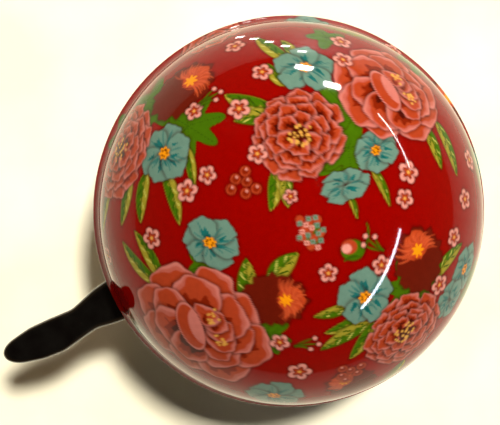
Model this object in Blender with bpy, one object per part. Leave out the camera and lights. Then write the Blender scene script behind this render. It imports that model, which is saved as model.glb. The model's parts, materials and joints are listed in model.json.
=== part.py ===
"""An 80 mm two-tone bicycle bell: printed upper dome, lower shell, thumb lever, geared hammer and handlebar clamp.

Metres, +Z up along the dome's axis. The handlebar runs along X through the origin, and the lever points to -Y.
Run with: blender --background --python part.py
"""

from math import asin, atan2, cos, degrees, pi, radians, sin, sqrt

import bmesh
import bpy
from mathutils import Vector

MM = 0.001

# Driving dimensions.
HANDLEBAR_RADIUS = 11.1 * MM
DOME_RADIUS = 40.0 * MM
DOME_HEIGHT = 34.5 * MM
SHELL_RADIUS = 36.0 * MM
SHELL_DEPTH = 16.2 * MM
RIM_GAP = 6.0 * MM
LEVER_REACH = 25.5 * MM
LEVER_TRAVEL = 25.0
GAP = 0.3 * MM

# Clamp.
LINER_THICKNESS = 1.2 * MM
CLAMP_INNER = HANDLEBAR_RADIUS + LINER_THICKNESS + GAP
CLAMP_WALL = 2.6 * MM
CLAMP_OUTER = CLAMP_INNER + CLAMP_WALL
CLAMP_WIDTH = 20.0 * MM
EAR_FACE = 1.5 * MM
EAR_THICKNESS = 3.0 * MM
EAR_REACH = 25.5 * MM
SCREW_Y = 20.0 * MM
SCREW_RADIUS = 2.4 * MM
SADDLE_TOP = 17.5 * MM
SADDLE_PAD = 11.0 * MM

# Stack along the dome's axis, from the saddle up.
SHEET = 1.1 * MM
SHELL_BASE = SADDLE_TOP + GAP
SHELL_FLAT = 16.0 * MM
SHELL_RIM = SHELL_BASE + SHELL_DEPTH
WASHER_BASE = SHELL_BASE + SHEET + GAP
WASHER_THICKNESS = 1.0 * MM
POST_BASE = WASHER_BASE + WASHER_THICKNESS + GAP
POST_RADIUS = 3.0 * MM
POST_FOOT_RADIUS = 5.0 * MM
PLATE_BASE = 30.0 * MM
PLATE_THICKNESS = 2.6 * MM
PLATE_TOP = PLATE_BASE + PLATE_THICKNESS
DOME_RIM = SHELL_RIM + RIM_GAP
DOME_TOP = DOME_RIM + DOME_HEIGHT

# Upper dome.
LIP_FLARE = 1.6 * MM
LIP_HEIGHT = 2.0 * MM
SKIRT_HEIGHT = 4.0 * MM
BODY_RADIUS = DOME_RADIUS - LIP_FLARE
BODY_HEIGHT = DOME_HEIGHT - SKIRT_HEIGHT
BOSS_BASE = 64.0 * MM
BOSS_TOP = DOME_TOP - SHEET - 1.0 * MM
BOSS_RADIUS = 7.0 * MM
POST_TOP = BOSS_TOP - 2.2 * MM

# Mechanism.
LEVER_BASE = PLATE_TOP + 2.7 * MM
LEVER_THICKNESS = 3.4 * MM
LEVER_TOP = LEVER_BASE + LEVER_THICKNESS
LEVER_PIVOT = Vector((0.0, -21.0 * MM, 0.0))
MODULE = 1.5 * MM
SECTOR_TEETH = 16
PINION_TEETH = 8
SECTOR_RADIUS = MODULE * SECTOR_TEETH / 2
PINION_RADIUS = MODULE * PINION_TEETH / 2
MESH_ANGLE = radians(45.0)
HAMMER_PIVOT = LEVER_PIVOT + (SECTOR_RADIUS + PINION_RADIUS) * Vector((cos(MESH_ANGLE), sin(MESH_ANGLE), 0.0))
HAMMER_LENGTH = 15.5 * MM
HAMMER_REST = radians(-8.0)
HAMMER_SWING = radians(LEVER_TRAVEL * SECTOR_TEETH / PINION_TEETH)
HEAD_RADIUS = 3.5 * MM
PIN_RADIUS = 1.5 * MM
PIN_HEAD = 3.0 * MM
BORE_RADIUS = PIN_RADIUS + GAP
BARREL_RADIUS = 4.0 * MM
LEVER_BARREL_TOP = 43.3 * MM
HAMMER_BARREL_TOP = LEVER_TOP + 1.0 * MM
ROOT_HALF_WIDTH = 4.6 * MM
STOP_RADIUS = 1.6 * MM
SLEEVE_RADIUS = 3.0 * MM
SPRING_PEG = Vector((-8.5 * MM, -17.3 * MM, 0.0))
SPRING_PEG_RADIUS = 1.2 * MM
LEVER_PEG = Vector((2.2 * MM, -7.0 * MM, 0.0))
LEVER_PEG_RADIUS = 0.8 * MM
WIRE_RADIUS = 0.4 * MM
COIL_RADIUS = 4.9 * MM

MATERIALS = {
    "dome_enamel": ((0.60, 0.02, 0.01), 0.15, 0.0),
    "chrome": ((0.80, 0.80, 0.80), 0.12, 1.0),
    "zinc_steel": ((0.62, 0.63, 0.64), 0.35, 1.0),
    "spring_steel": ((0.45, 0.45, 0.46), 0.30, 1.0),
    "black_plastic": ((0.012, 0.012, 0.013), 0.25, 0.0),
    "carrier_plastic": ((0.020, 0.020, 0.022), 0.45, 0.0),
    "brass": ((0.72, 0.50, 0.20), 0.30, 1.0),
    "black_rubber": ((0.025, 0.025, 0.025), 0.70, 0.0),
}


def clear_scene():
    for obj in list(bpy.data.objects):
        bpy.data.objects.remove(obj)


def make_material(name):
    color, roughness, metallic = MATERIALS[name]
    material = bpy.data.materials.get(name)
    if material is None:
        material = bpy.data.materials.new(name)
        material.use_nodes = True
        shader = material.node_tree.nodes["Principled BSDF"]
        shader.inputs["Base Color"].default_value = (*color, 1.0)
        shader.inputs["Roughness"].default_value = roughness
        shader.inputs["Metallic"].default_value = metallic
    return material


def finish_mesh(name, mesh_data, material, place=Vector()):
    """Links a bmesh as an object at a place, with its faces turned outwards and its round sides smooth."""
    bmesh.ops.recalc_face_normals(mesh_data, faces=mesh_data.faces)
    mesh = bpy.data.meshes.new(name)
    mesh_data.to_mesh(mesh)
    mesh_data.free()
    mesh.shade_smooth()
    mesh.set_sharp_from_angle(angle=radians(35.0))
    obj = bpy.data.objects.new(name, mesh)
    obj.location = place
    bpy.context.scene.collection.objects.link(obj)
    if material:
        mesh.materials.append(make_material(material))
    return obj


def turned(name, profile, material=None, steps=24, place=Vector(), closed=False):
    """Spins (radius, height) points about Z. A closed profile is a ring; an open one starts and ends on the axis."""
    bm = bmesh.new()
    verts = [bm.verts.new((radius, 0.0, height)) for radius, height in profile]
    pairs = list(zip(verts, verts[1:]))
    if closed:
        pairs.append((verts[-1], verts[0]))
    edges = [bm.edges.new(pair) for pair in pairs]
    bmesh.ops.spin(bm, geom=verts + edges, cent=(0, 0, 0), axis=(0, 0, 1), angle=2 * pi, steps=steps)
    bmesh.ops.remove_doubles(bm, verts=bm.verts, dist=1e-6)
    return finish_mesh(name, bm, material, place)


def ring(name, inner, outer, base, top, material, steps=20, place=Vector()):
    profile = [(outer, top), (outer, base), (inner, base), (inner, top)]
    return turned(name, profile, material, steps, place, closed=True)


def rod(name, radius, base, top, material=None, steps=16, place=Vector()):
    profile = [(0.0, top), (radius, top), (radius, base), (0.0, base)]
    return turned(name, profile, material, steps, place)


def extruded(name, outline, base, top, material=None, place=Vector(), along_x=False):
    """Extrudes a closed outline from base to top, along Z, or along X with the outline in Y and Z."""
    bm = bmesh.new()
    if along_x:
        verts = [bm.verts.new((base, first, second)) for first, second in outline]
        shift = (top - base, 0.0, 0.0)
    else:
        verts = [bm.verts.new((first, second, base)) for first, second in outline]
        shift = (0.0, 0.0, top - base)
    face = bm.faces.new(verts)
    new = bmesh.ops.extrude_face_region(bm, geom=[face])
    moved = [item for item in new["geom"] if isinstance(item, bmesh.types.BMVert)]
    bmesh.ops.translate(bm, verts=moved, vec=shift)
    return finish_mesh(name, bm, material, place)


def combine(target, tool, operation):
    """Adds a Boolean of a hidden tool object to the target."""
    tool.hide_render = True
    tool.display_type = "WIRE"
    modifier = target.modifiers.new(tool.name, "BOOLEAN")
    modifier.operation = operation
    modifier.solver = "EXACT"
    modifier.object = tool


def drill(target, name, radius, base, top, place=Vector(), steps=16):
    combine(target, rod(name, radius, base, top, steps=steps, place=place), "DIFFERENCE")


def add_rod(target, name, radius, base, top, place=Vector(), steps=16):
    combine(target, rod(name, radius, base, top, steps=steps, place=place), "UNION")


def arc(radius, start, end, count):
    """Points on a circle from one angle to another, in degrees, both ends included."""
    angles = [radians(start + (end - start) * i / (count - 1)) for i in range(count)]
    return [(radius * cos(a), radius * sin(a)) for a in angles]


def polar(radius, angle):
    return Vector((radius * cos(angle), radius * sin(angle), 0.0))


def dome_profile(inset):
    """The dome's side from the crown down to its flared lip, moved inwards by inset."""
    body = BODY_RADIUS - inset
    rise = BODY_HEIGHT - inset
    spring_line = DOME_RIM + SKIRT_HEIGHT
    angles = [radians(90.0 - 9.0 * i) for i in range(1, 11)]
    profile = [(0.0, spring_line + rise)]
    profile += [(body * cos(a), spring_line + rise * sin(a)) for a in angles]
    profile.append((body, DOME_RIM + LIP_HEIGHT))
    profile.append((body + 0.35 * LIP_FLARE, DOME_RIM + 0.4 * LIP_HEIGHT))
    profile.append((body + LIP_FLARE, DOME_RIM))
    return profile


def make_upper_dome():
    profile = dome_profile(0.0) + list(reversed(dome_profile(SHEET)))
    turned("upper_dome", profile, "dome_enamel", steps=48)


def shell_profile(inset):
    """The lower shell's side from its rim down to its flat base, moved inwards by inset."""
    angles = [radians(90.0 - 12.0 * i) for i in range(8)]
    sweep = SHELL_RADIUS - SHELL_FLAT
    profile = [
        (SHELL_FLAT + (sweep - inset) * sin(a), SHELL_RIM - (SHELL_DEPTH - inset) * cos(a)) for a in angles
    ]
    profile.append((SHELL_FLAT * 0.9, SHELL_BASE + inset))
    return profile


def make_lower_shell():
    hole = SCREW_RADIUS + GAP
    outer = shell_profile(0.0) + [(hole, SHELL_BASE)]
    inner = shell_profile(SHEET) + [(hole, SHELL_BASE + SHEET)]
    turned("lower_shell", outer + list(reversed(inner)), "chrome", steps=48, closed=True)


def make_centre_stack():
    """Base screw, washer, post, carrier nut, spacer tube and the boss welded under the crown."""
    shank = SCREW_RADIUS - 0.1 * MM
    head_base = CLAMP_INNER + GAP
    head_top = head_base + 1.8 * MM
    screw = [
        (0.0, POST_BASE + 6.5 * MM),
        (shank, POST_BASE + 6.5 * MM),
        (shank, head_top),
        (4.0 * MM, head_top),
        (4.0 * MM, head_base),
        (0.0, head_base),
    ]
    turned("base_screw", screw, "zinc_steel", steps=20)
    ring("shell_washer", SCREW_RADIUS + GAP, 6.0 * MM, WASHER_BASE, POST_BASE - GAP, "black_rubber")
    foot_top = PLATE_BASE - GAP
    post = [
        (0.0, POST_TOP),
        (POST_RADIUS - 0.5 * MM, POST_TOP),
        (POST_RADIUS, POST_TOP - 0.5 * MM),
        (POST_RADIUS, foot_top),
        (POST_FOOT_RADIUS, foot_top),
        (POST_FOOT_RADIUS, POST_BASE),
        (SCREW_RADIUS + GAP, POST_BASE),
        (SCREW_RADIUS + GAP, POST_BASE + 7.0 * MM),
        (0.0, POST_BASE + 7.0 * MM),
    ]
    turned("centre_post", post, "zinc_steel", steps=24)
    bore = POST_RADIUS + GAP
    washer_top = PLATE_TOP + GAP + 0.8 * MM
    ring("carrier_lock_washer", bore, 5.4 * MM, PLATE_TOP + GAP, washer_top, "spring_steel")
    make_nut("carrier_nut", 5.0 * MM, bore, washer_top + GAP, washer_top + GAP + 5.0 * MM)
    ring("spacer_tube", bore, 5.0 * MM, washer_top + 5.0 * MM + 2 * GAP, BOSS_BASE - GAP, "zinc_steel")
    boss = [
        (0.0, BOSS_TOP),
        (BOSS_RADIUS - 1.0 * MM, BOSS_TOP),
        (BOSS_RADIUS, BOSS_TOP - 0.8 * MM),
        (BOSS_RADIUS, BOSS_BASE),
        (bore, BOSS_BASE),
        (bore, POST_TOP + GAP),
        (0.0, POST_TOP + GAP),
    ]
    turned("dome_boss", boss, "brass", steps=24)


def make_nut(name, half_flats, bore, base, top, place=Vector()):
    corner = half_flats / cos(radians(30.0))
    outline = arc(corner, 0.0, 300.0, 6)
    nut = extruded(name, outline, base, top, "zinc_steel", place)
    drill(nut, name + "_bore", bore, base - MM, top + MM, place)
    return nut


def rack_of_teeth(radius, teeth, chosen, phase):
    """Outline points of the chosen teeth, counted from the tooth at the phase angle, in degrees."""
    pitch = 360.0 / teeth
    levels = ((radius - 1.1 * MODULE, 0.30), (radius, 0.20), (radius + 0.75 * MODULE, 0.11))
    points = []
    for number in chosen:
        centre = phase + number * pitch
        for side, order in ((-1.0, levels), (1.0, tuple(reversed(levels)))):
            for tooth_radius, share in order:
                points.append((tooth_radius, centre + side * share * pitch))
    return [(r * cos(radians(a)), r * sin(radians(a))) for r, a in points]


def lever_hub_outline():
    """Toothed sector, round hub and the start of the arm, about the lever's pivot."""
    hub = 5.0 * MM
    meet = degrees(asin(ROOT_HALF_WIDTH / hub))
    arm_end = -14.0 * MM
    sector = rack_of_teeth(SECTOR_RADIUS, SECTOR_TEETH, range(-2, 2), degrees(MESH_ANGLE))
    first = degrees(atan2(sector[0][1], sector[0][0]))
    last = degrees(atan2(sector[-1][1], sector[-1][0]))
    outline = arc(hub, -90.0 + meet, first, 3) + sector + arc(hub, last, 270.0 - meet, 9)
    outline += [(-ROOT_HALF_WIDTH, arm_end), (ROOT_HALF_WIDTH, arm_end)]
    return outline


def lever_sections():
    """Distance from the pivot, half width, sideways shift and thickness along the thumb lever."""
    rim = DOME_RADIUS + LEVER_PIVOT.y
    shares = (
        (-0.27, 4.1, 0.0, 2.8),
        (0.0, 4.5, 0.0, 3.2),
        (0.13, 4.0, 0.0, 3.2),
        (0.23, 3.3, 0.1, 3.0),
        (0.35, 3.25, 0.7, 3.0),
        (0.57, 3.6, 0.9, 3.2),
        (0.75, 3.2, 0.6, 3.0),
        (0.88, 2.5, 0.45, 2.6),
        (0.96, 1.6, 0.35, 2.0),
        (1.0, 0.7, 0.3, 1.0),
    )
    return [(rim + share * LEVER_REACH, w * MM, shift * MM, t * MM) for share, w, shift, t in shares]


def make_lever_blade():
    """A loft of rounded sections from inside the dome to the tip of the lever."""
    corners = 12
    middle = LEVER_BASE + LEVER_THICKNESS / 2
    bm = bmesh.new()
    rings = []
    for distance, half_width, shift, thickness in lever_sections():
        loop = []
        for i in range(corners):
            angle = 2 * pi * i / corners
            across = half_width * abs(cos(angle)) ** 0.6 * (1 if cos(angle) > 0 else -1)
            height = thickness / 2 * abs(sin(angle)) ** 0.6 * (1 if sin(angle) > 0 else -1)
            loop.append(bm.verts.new((shift + across, -distance, middle + height)))
        rings.append(loop)
    for near, far in zip(rings, rings[1:]):
        for i in range(corners):
            j = (i + 1) % corners
            bm.faces.new((near[i], near[j], far[j], far[i]))
    bm.faces.new(rings[0])
    bm.faces.new(rings[-1])
    return finish_mesh("lever_blade_tool", bm, None, LEVER_PIVOT)


def make_thumb_lever():
    lever = extruded("thumb_lever", lever_hub_outline(), LEVER_BASE, LEVER_TOP, "black_plastic", LEVER_PIVOT)
    combine(lever, make_lever_blade(), "UNION")
    inside = LEVER_BASE + MM
    add_rod(lever, "lever_barrel_tool", BARREL_RADIUS, inside, LEVER_BARREL_TOP, LEVER_PIVOT, steps=20)
    peg_place = LEVER_PIVOT + LEVER_PEG
    add_rod(lever, "lever_peg_tool", LEVER_PEG_RADIUS, inside, LEVER_BARREL_TOP, peg_place, steps=10)
    drill(lever, "lever_bore", BORE_RADIUS, LEVER_BASE - MM, LEVER_BARREL_TOP + MM, LEVER_PIVOT)


def make_hammer():
    """Pinion with its arm, the steel head on the arm's end and the rivet that holds it."""
    outline = rack_of_teeth(PINION_RADIUS, PINION_TEETH, range(PINION_TEETH), 180.0 + 45.0 + 22.5)
    arm = extruded("hammer_arm", outline, LEVER_BASE, LEVER_TOP, "carrier_plastic", HAMMER_PIVOT)
    half = 2.2 * MM
    strip = [
        (3.0 * MM, -half),
        (HAMMER_LENGTH + 1.7 * MM, -half),
        (HAMMER_LENGTH + 1.7 * MM, half),
        (3.0 * MM, half),
    ]
    arm_base = LEVER_BASE + GAP
    arm_top = LEVER_TOP - 0.5 * MM
    blade = extruded("hammer_blade_tool", strip, arm_base, arm_top, None, HAMMER_PIVOT)
    blade.rotation_euler.z = HAMMER_REST
    combine(arm, blade, "UNION")
    add_rod(arm, "hammer_barrel_tool", 3.2 * MM, LEVER_BASE + MM, HAMMER_BARREL_TOP, HAMMER_PIVOT)
    drill(arm, "hammer_bore", BORE_RADIUS, LEVER_BASE - MM, HAMMER_BARREL_TOP + MM, HAMMER_PIVOT)
    head_place = HAMMER_PIVOT + polar(HAMMER_LENGTH, HAMMER_REST)
    rivet_hole = 1.3 * MM
    drill(arm, "hammer_rivet_hole", rivet_hole, arm_base - MM, arm_top + MM, head_place, steps=12)

    low = PLATE_TOP
    high = 41.2 * MM
    chamfer = 0.5 * MM
    profile = [
        (HEAD_RADIUS - chamfer, high),
        (HEAD_RADIUS, high - chamfer),
        (HEAD_RADIUS, low + chamfer),
        (HEAD_RADIUS - chamfer, low),
        (rivet_hole, low),
        (rivet_hole, high),
    ]
    head = turned("hammer_head", profile, "zinc_steel", 20, head_place, closed=True)
    slot_half = half + GAP
    slot = [
        (-HEAD_RADIUS - MM, -slot_half),
        (2.0 * MM, -slot_half),
        (2.0 * MM, slot_half),
        (-HEAD_RADIUS - MM, slot_half),
    ]
    cutter = extruded("hammer_head_slot", slot, arm_base - GAP, arm_top + GAP, None, head_place)
    cutter.rotation_euler.z = HAMMER_REST
    combine(head, cutter, "DIFFERENCE")
    shank = rivet_hole - GAP
    flange = 1.9 * MM
    rivet = [
        (0.0, high + GAP + 0.8 * MM),
        (flange * 0.6, high + GAP + 0.8 * MM),
        (flange, high + GAP),
        (shank, high + GAP),
        (shank, low - GAP),
        (flange, low - GAP),
        (flange * 0.6, low - GAP - 0.8 * MM),
        (0.0, low - GAP - 0.8 * MM),
    ]
    turned("hammer_rivet", rivet, "zinc_steel", 12, head_place)


def make_pivot(prefix, place, barrel_top):
    """Headed pin through the carrier with a groove near its top, and the clip that sits in the groove."""
    clip_base = barrel_top + GAP
    clip_top = clip_base + 0.8 * MM
    groove = 1.1 * MM
    profile = [
        (0.0, clip_top + 1.2 * MM),
        (PIN_RADIUS, clip_top + 1.2 * MM),
        (PIN_RADIUS, clip_top + GAP),
        (groove, clip_top + GAP),
        (groove, clip_base - GAP / 2),
        (PIN_RADIUS, clip_base - GAP / 2),
        (PIN_RADIUS, PLATE_BASE - GAP),
        (PIN_HEAD, PLATE_BASE - GAP),
        (PIN_HEAD, PLATE_BASE - GAP - 1.3 * MM),
        (0.0, PLATE_BASE - GAP - 1.3 * MM),
    ]
    turned(prefix + "_pin", profile, "zinc_steel", 16, place)
    ring(prefix + "_clip", groove + GAP, 3.4 * MM, clip_base, clip_top, "spring_steel", 16, place)


def rest_stop_place():
    return Vector((-ROOT_HALF_WIDTH - GAP - SLEEVE_RADIUS, -30.0 * MM, 0.0))


def press_stop_place():
    """A bare peg that meets the arm's side at the end of its travel."""
    along = radians(-90.0 + LEVER_TRAVEL)
    side = radians(LEVER_TRAVEL)
    return LEVER_PIVOT + polar(9.0 * MM, along) + polar(ROOT_HALF_WIDTH + GAP + STOP_RADIUS, side)


def make_carrier_plate():
    disc = 25.0 * MM
    lobe = 33.0 * MM
    outline = arc(disc, -58.0, 240.0, 26) + arc(lobe, 242.0, 300.0, 9)
    plate = extruded("carrier_plate", outline, PLATE_BASE, PLATE_TOP, "carrier_plastic")
    inside = PLATE_TOP - MM
    boss_top = LEVER_BASE - GAP
    stop_top = LEVER_TOP + 0.7 * MM
    raised = (
        ("lever_boss_tool", 4.2 * MM, boss_top, LEVER_PIVOT),
        ("hammer_boss_tool", 3.6 * MM, boss_top, HAMMER_PIVOT),
        ("rest_stop_tool", STOP_RADIUS, stop_top, rest_stop_place()),
        ("press_stop_tool", STOP_RADIUS, stop_top, press_stop_place()),
        ("spring_peg_tool", SPRING_PEG_RADIUS, LEVER_BARREL_TOP, SPRING_PEG),
    )
    for name, radius, top, place in raised:
        add_rod(plate, name, radius, inside, top, place, steps=14)
    holes = (
        ("carrier_centre_hole", POST_RADIUS + GAP, Vector()),
        ("carrier_lever_hole", BORE_RADIUS, LEVER_PIVOT),
        ("carrier_hammer_hole", BORE_RADIUS, HAMMER_PIVOT),
    )
    for name, radius, place in holes:
        drill(plate, name, radius, PLATE_BASE - MM, boss_top + MM, place)
    sleeve_top = stop_top - GAP
    ring(
        "rest_stop_sleeve",
        STOP_RADIUS + GAP,
        SLEEVE_RADIUS,
        LEVER_BASE,
        sleeve_top,
        "black_rubber",
        16,
        rest_stop_place(),
    )


def make_return_spring():
    """Torsion coil round the lever's barrel, with one leg on the carrier's peg and one on the lever's."""
    base = LEVER_TOP + WIRE_RADIUS + 0.4 * MM
    pitch = 1.0 * MM
    turns = 3.25
    per_turn = 12
    count = round(turns * per_turn)
    coil = []
    for i in range(count + 1):
        turn = i / per_turn
        angle = pi / 2 - 2 * pi * turn
        coil.append((COIL_RADIUS * cos(angle), COIL_RADIUS * sin(angle), base + pitch * turn))
    clear = WIRE_RADIUS + GAP
    fixed_x = SPRING_PEG.x
    fixed_y = SPRING_PEG.y - LEVER_PIVOT.y + SPRING_PEG_RADIUS + clear
    fixed_leg = [(fixed_x - 2.0 * MM, fixed_y, base), (fixed_x, fixed_y, base), (fixed_x / 2, fixed_y, base)]
    loose_x = LEVER_PEG.x + LEVER_PEG_RADIUS + clear
    high = base + pitch * turns
    loose_leg = [(loose_x + 0.4 * MM, LEVER_PEG.y / 2, high), (loose_x, LEVER_PEG.y - 1.5 * MM, high)]
    points = fixed_leg + coil + loose_leg
    curve = bpy.data.curves.new("return_spring", "CURVE")
    curve.dimensions = "3D"
    curve.bevel_depth = WIRE_RADIUS
    curve.bevel_resolution = 1
    curve.use_fill_caps = True
    spline = curve.splines.new("POLY")
    spline.points.add(len(points) - 1)
    for point, place in zip(spline.points, points):
        point.co = (*place, 1.0)
    curve.materials.append(make_material("spring_steel"))
    spring = bpy.data.objects.new("return_spring", curve)
    spring.location = LEVER_PIVOT
    bpy.context.scene.collection.objects.link(spring)


def make_anvil(name, arm_angle, side, inner, outer, base, top):
    """A steel tab that the head strikes, with its face square to the head's path at that arm angle."""
    thickness = 3.0 * MM
    outline = [(inner, 0.0), (outer, 0.0), (outer, side * thickness), (inner, side * thickness)]
    head = HAMMER_PIVOT + polar(HAMMER_LENGTH, arm_angle)
    across = polar(side * (HEAD_RADIUS + GAP), arm_angle + pi / 2)
    anvil = extruded(name, outline, base, top, "zinc_steel", head + across)
    anvil.rotation_euler.z = arm_angle


def make_anvils():
    pressed = HAMMER_REST - HAMMER_SWING
    make_anvil("shell_anvil", HAMMER_REST, 1.0, -2.0 * MM, 4.2 * MM, 29.0 * MM, 40.0 * MM)
    make_anvil("dome_anvil", pressed, -1.0, -2.0 * MM, 6.6 * MM, 36.0 * MM, 47.0 * MM)


def clamp_half_outline(side, pad):
    """Half of the clamp in Y and Z: its arch, the two ears and, on the saddle, the pad under the shell."""
    inner = CLAMP_INNER
    outer = CLAMP_OUTER
    face = EAR_FACE
    back = EAR_FACE + EAR_THICKNESS
    inner_end = degrees(asin(face / inner))
    outer_end = degrees(asin(back / outer))
    arch = arc(inner, inner_end, 180.0 - inner_end, 17)
    outline = arch + [(-EAR_REACH, face), (-EAR_REACH, back)]
    if pad:
        pad_end = 180.0 - degrees(atan2(sqrt(outer**2 - SADDLE_PAD**2), SADDLE_PAD))
        outline += arc(outer, 180.0 - outer_end, pad_end, 5)
        outline += [(-SADDLE_PAD, SADDLE_TOP), (SADDLE_PAD, SADDLE_TOP)]
        outline += arc(outer, 180.0 - pad_end, outer_end, 5)
    else:
        outline += arc(outer, 180.0 - outer_end, outer_end, 17)
    outline += [(EAR_REACH, back), (EAR_REACH, face)]
    return [(across, side * height) for across, height in outline]


def make_clamp():
    half = CLAMP_WIDTH / 2
    saddle = extruded("clamp_saddle", clamp_half_outline(1.0, True), -half, half, "zinc_steel", along_x=True)
    strap = extruded("clamp_strap", clamp_half_outline(-1.0, False), -half, half, "zinc_steel", along_x=True)
    pocket_top = CLAMP_INNER + 2.4 * MM
    drill(saddle, "saddle_pocket", 4.4 * MM, CLAMP_INNER - 4.0 * MM, pocket_top, steps=20)
    drill(saddle, "saddle_hole", SCREW_RADIUS + GAP, pocket_top - MM, SADDLE_TOP + MM)
    for end, side in (("front", -1.0), ("rear", 1.0)):
        place = Vector((0.0, side * SCREW_Y, 0.0))
        drill(saddle, "saddle_ear_hole_" + end, SCREW_RADIUS + GAP, 0.0, 3 * EAR_THICKNESS, place)
        drill(strap, "strap_ear_hole_" + end, SCREW_RADIUS + GAP, -3 * EAR_THICKNESS, 0.0, place)
        make_clamp_screw(end, place)
    make_liner()


def make_clamp_screw(end, place):
    """Socket-head screw from below, with its washer and nut on the saddle's ear."""
    ear_back = EAR_FACE + EAR_THICKNESS
    head_top = -ear_back - GAP
    head_base = head_top - 3.5 * MM
    washer_top = ear_back + GAP + 0.9 * MM
    nut_top = washer_top + GAP + 4.0 * MM
    profile = [
        (0.0, nut_top + 0.9 * MM),
        (SCREW_RADIUS - 0.4 * MM, nut_top + 0.9 * MM),
        (SCREW_RADIUS, nut_top + 0.5 * MM),
        (SCREW_RADIUS, head_top),
        (4.2 * MM, head_top),
        (4.2 * MM, head_base + 0.5 * MM),
        (3.7 * MM, head_base),
        (0.0, head_base),
    ]
    screw = turned("clamp_screw_" + end, profile, "zinc_steel", 18, place)
    drill(screw, "socket_" + end, 2.3 * MM, head_base - MM, head_base + 2.2 * MM, place, steps=6)
    ring("clamp_washer_" + end, SCREW_RADIUS + GAP, 5.0 * MM, ear_back + GAP, washer_top, "zinc_steel", 16, place)
    make_nut("clamp_nut_" + end, 4.0 * MM, SCREW_RADIUS + GAP, washer_top + GAP, nut_top, place)


def make_liner():
    """Rubber sleeve between the clamp and the handlebar, split at the rear."""
    outer = HANDLEBAR_RADIUS + LINER_THICKNESS
    split = 5.0
    outline = arc(outer, split, 360.0 - split, 29) + arc(HANDLEBAR_RADIUS, 360.0 - split, split, 29)
    half = CLAMP_WIDTH / 2
    extruded("rubber_liner", outline, -half, half, "black_rubber", along_x=True)


def build():
    clear_scene()
    make_upper_dome()
    make_lower_shell()
    make_centre_stack()
    make_carrier_plate()
    make_thumb_lever()
    make_hammer()
    make_pivot("lever", LEVER_PIVOT, LEVER_BARREL_TOP)
    make_pivot("hammer", HAMMER_PIVOT, HAMMER_BARREL_TOP)
    make_return_spring()
    make_anvils()
    make_clamp()


build()
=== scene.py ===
"""A printed bicycle bell: the looks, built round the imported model.

Lengths here are in millimetres until they meet Blender.
"""

import json
import random
from math import atan2, cos, hypot, pi, radians, sin

import bpy
import numpy as np
from mathutils import Matrix, Vector


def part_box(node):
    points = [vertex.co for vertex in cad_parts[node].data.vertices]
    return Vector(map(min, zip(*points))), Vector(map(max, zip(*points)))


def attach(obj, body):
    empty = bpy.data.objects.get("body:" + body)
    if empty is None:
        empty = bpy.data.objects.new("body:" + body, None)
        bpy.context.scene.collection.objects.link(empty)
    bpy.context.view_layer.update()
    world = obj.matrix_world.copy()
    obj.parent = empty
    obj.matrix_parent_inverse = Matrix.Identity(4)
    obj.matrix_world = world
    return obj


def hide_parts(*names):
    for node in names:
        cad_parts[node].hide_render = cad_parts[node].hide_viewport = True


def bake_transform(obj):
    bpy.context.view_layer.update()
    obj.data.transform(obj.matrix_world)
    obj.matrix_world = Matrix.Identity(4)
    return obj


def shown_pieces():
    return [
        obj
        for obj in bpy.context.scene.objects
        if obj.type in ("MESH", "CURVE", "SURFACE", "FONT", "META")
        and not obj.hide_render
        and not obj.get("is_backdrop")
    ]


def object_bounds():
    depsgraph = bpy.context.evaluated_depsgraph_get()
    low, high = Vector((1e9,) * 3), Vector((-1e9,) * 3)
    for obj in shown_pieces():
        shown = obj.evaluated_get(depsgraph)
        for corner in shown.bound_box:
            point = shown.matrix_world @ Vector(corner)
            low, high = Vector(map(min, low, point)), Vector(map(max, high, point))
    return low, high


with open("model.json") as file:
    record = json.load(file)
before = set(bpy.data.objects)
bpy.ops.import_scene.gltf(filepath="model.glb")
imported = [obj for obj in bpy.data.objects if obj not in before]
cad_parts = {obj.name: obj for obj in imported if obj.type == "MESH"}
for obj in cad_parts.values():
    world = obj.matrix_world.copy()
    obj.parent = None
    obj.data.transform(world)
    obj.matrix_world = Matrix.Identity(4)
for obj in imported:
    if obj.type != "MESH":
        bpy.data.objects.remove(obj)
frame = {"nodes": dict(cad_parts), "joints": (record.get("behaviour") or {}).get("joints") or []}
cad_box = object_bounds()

MM = 0.001

# ---- Sizes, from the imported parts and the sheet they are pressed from
SHEET = 1.1
LIP_FLARE = 1.6
SKIRT = 4.0
DOME_LOW, DOME_HIGH = (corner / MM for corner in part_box("upper_dome"))
DOME_RADIUS = DOME_HIGH.x
DOME_RIM = DOME_LOW.z
BODY_RADIUS = DOME_RADIUS - LIP_FLARE
BODY_RISE = DOME_HIGH.z - DOME_RIM - SKIRT
SPRING_LINE = DOME_RIM + SKIRT
DOME_RINGS = 200
INNER_SEGMENTS = DOME_RINGS
LINING_RINGS = 48
# How far out from the body, and how far up from the rim, the lip's curve runs
LIP_CURVE = (
    (0.14, 3.2), (0.38, 2.3), (0.72, 1.45), (1.1, 0.75), (1.38, 0.4), (1.54, 0.26), (1.6, 0.12), (1.6, 0.0),
)

SHELL_FLAT, SHELL_HOLE = 16.0, 2.7
SHELL_LOW, SHELL_HIGH = (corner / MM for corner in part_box("lower_shell"))
LEVER_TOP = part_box("thumb_lever")[1].z / MM
PIVOT = Vector(next(j["pos_m"] for j in frame["joints"] if j["name"] == "lever_press")) / MM
# From the pivot to the dome's edge, and from there to the lever's tip
LEVER_ROOT, LEVER_REACH = 19.0, 25.5
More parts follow.
